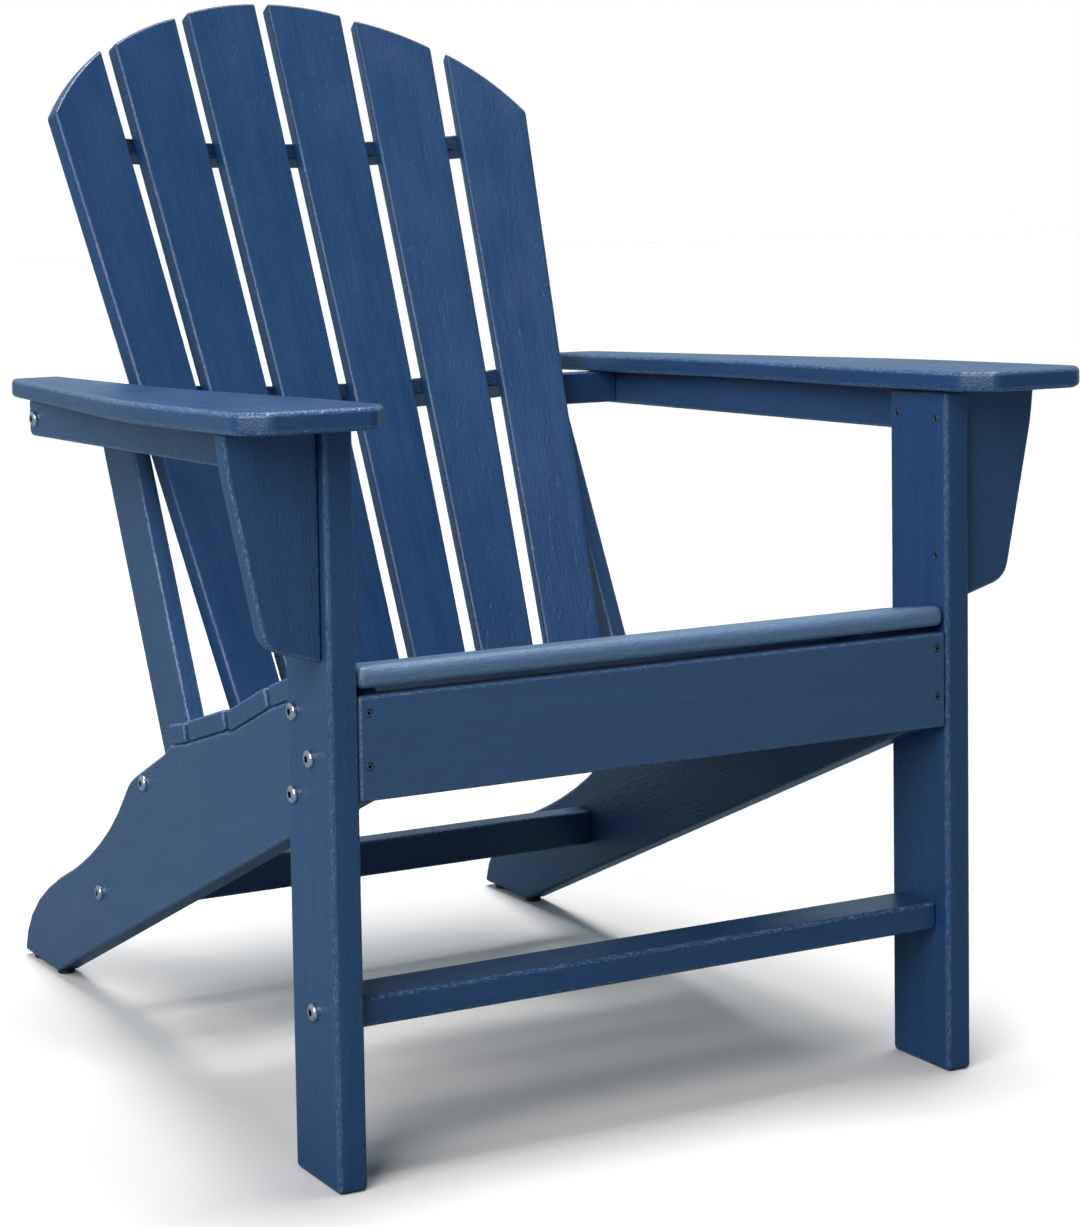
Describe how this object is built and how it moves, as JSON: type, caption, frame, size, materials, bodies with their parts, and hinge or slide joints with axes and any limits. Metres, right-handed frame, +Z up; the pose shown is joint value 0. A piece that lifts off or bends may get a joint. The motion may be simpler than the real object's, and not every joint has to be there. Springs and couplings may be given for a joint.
{
  "type": "adirondack chair",
  "caption": "Adirondack chair: low sloping slatted seat, fan-shaped reclined slat back, wide flat arms on brackets, rear legs formed by the long seat side boards.",
  "frame": {"origin": "on the floor, under the middle of the chair's bounding box", "axes": "+Z up, the sitter faces -Y, +X is to the right when the chair is seen from the front; the chair is mirrored about X = 0"},
  "size_m": [0.776, 0.856, 0.9536],
  "materials": {
    "navy_lumber": "satin, fine embossed wood grain",
    "zinc_fasteners": "bright zinc plate",
    "glide_plastic": "matt black"
  },
  "bodies": {
    "root": {"front_leg_left": "navy_lumber", "front_leg_right": "navy_lumber", "arm_left": "navy_lumber", "arm_right": "navy_lumber", "arm_rail_left": "navy_lumber", "arm_bracket_left": "navy_lumber", "arm_rail_right": "navy_lumber", "arm_bracket_right": "navy_lumber", "seat_slat_1": "navy_lumber", "seat_slat_2": "navy_lumber", "seat_slat_3": "navy_lumber", "seat_slat_4": "navy_lumber", "seat_slat_5": "navy_lumber", "front_apron": "navy_lumber", "stringer_left": "navy_lumber", "glide_left_1": "glide_plastic", "glide_left_2": "glide_plastic", "stringer_right": "navy_lumber", "glide_right_1": "glide_plastic", "glide_right_2": "glide_plastic", "front_stretcher": "navy_lumber", "rear_stretcher": "navy_lumber", "back_slat_1": "navy_lumber", "back_slat_2": "navy_lumber", "back_slat_3": "navy_lumber", "back_slat_4": "navy_lumber", "back_slat_5": "navy_lumber", "back_slat_6": "navy_lumber", "upper_back_rail": "navy_lumber", "middle_back_rail": "navy_lumber", "lower_back_rail": "navy_lumber", "back_post_left": "navy_lumber", "arm_tie_left": "navy_lumber", "post_spacer_left": "navy_lumber", "back_post_right": "navy_lumber", "arm_tie_right": "navy_lumber", "post_spacer_right": "navy_lumber", "leg_bolt_left_1": "zinc_fasteners", "leg_bolt_left_2": "zinc_fasteners", "leg_bolt_left_3": "zinc_fasteners", "front_stretcher_bolt_left": "zinc_fasteners", "rear_stretcher_bolt_left": "zinc_fasteners", "post_bolt_left": "zinc_fasteners", "tie_bolt_left": "zinc_fasteners", "bracket_screw_left_1": "zinc_fasteners", "bracket_screw_left_2": "zinc_fasteners", "apron_screw_left_1": "zinc_fasteners", "apron_screw_left_2": "zinc_fasteners", "leg_bolt_right_1": "zinc_fasteners", "leg_bolt_right_2": "zinc_fasteners", "leg_bolt_right_3": "zinc_fasteners", "front_stretcher_bolt_right": "zinc_fasteners", "rear_stretcher_bolt_right": "zinc_fasteners", "post_bolt_right": "zinc_fasteners", "tie_bolt_right": "zinc_fasteners", "bracket_screw_right_1": "zinc_fasteners", "bracket_screw_right_2": "zinc_fasteners", "apron_screw_right_1": "zinc_fasteners", "apron_screw_right_2": "zinc_fasteners"}
  },
  "joints": []
}
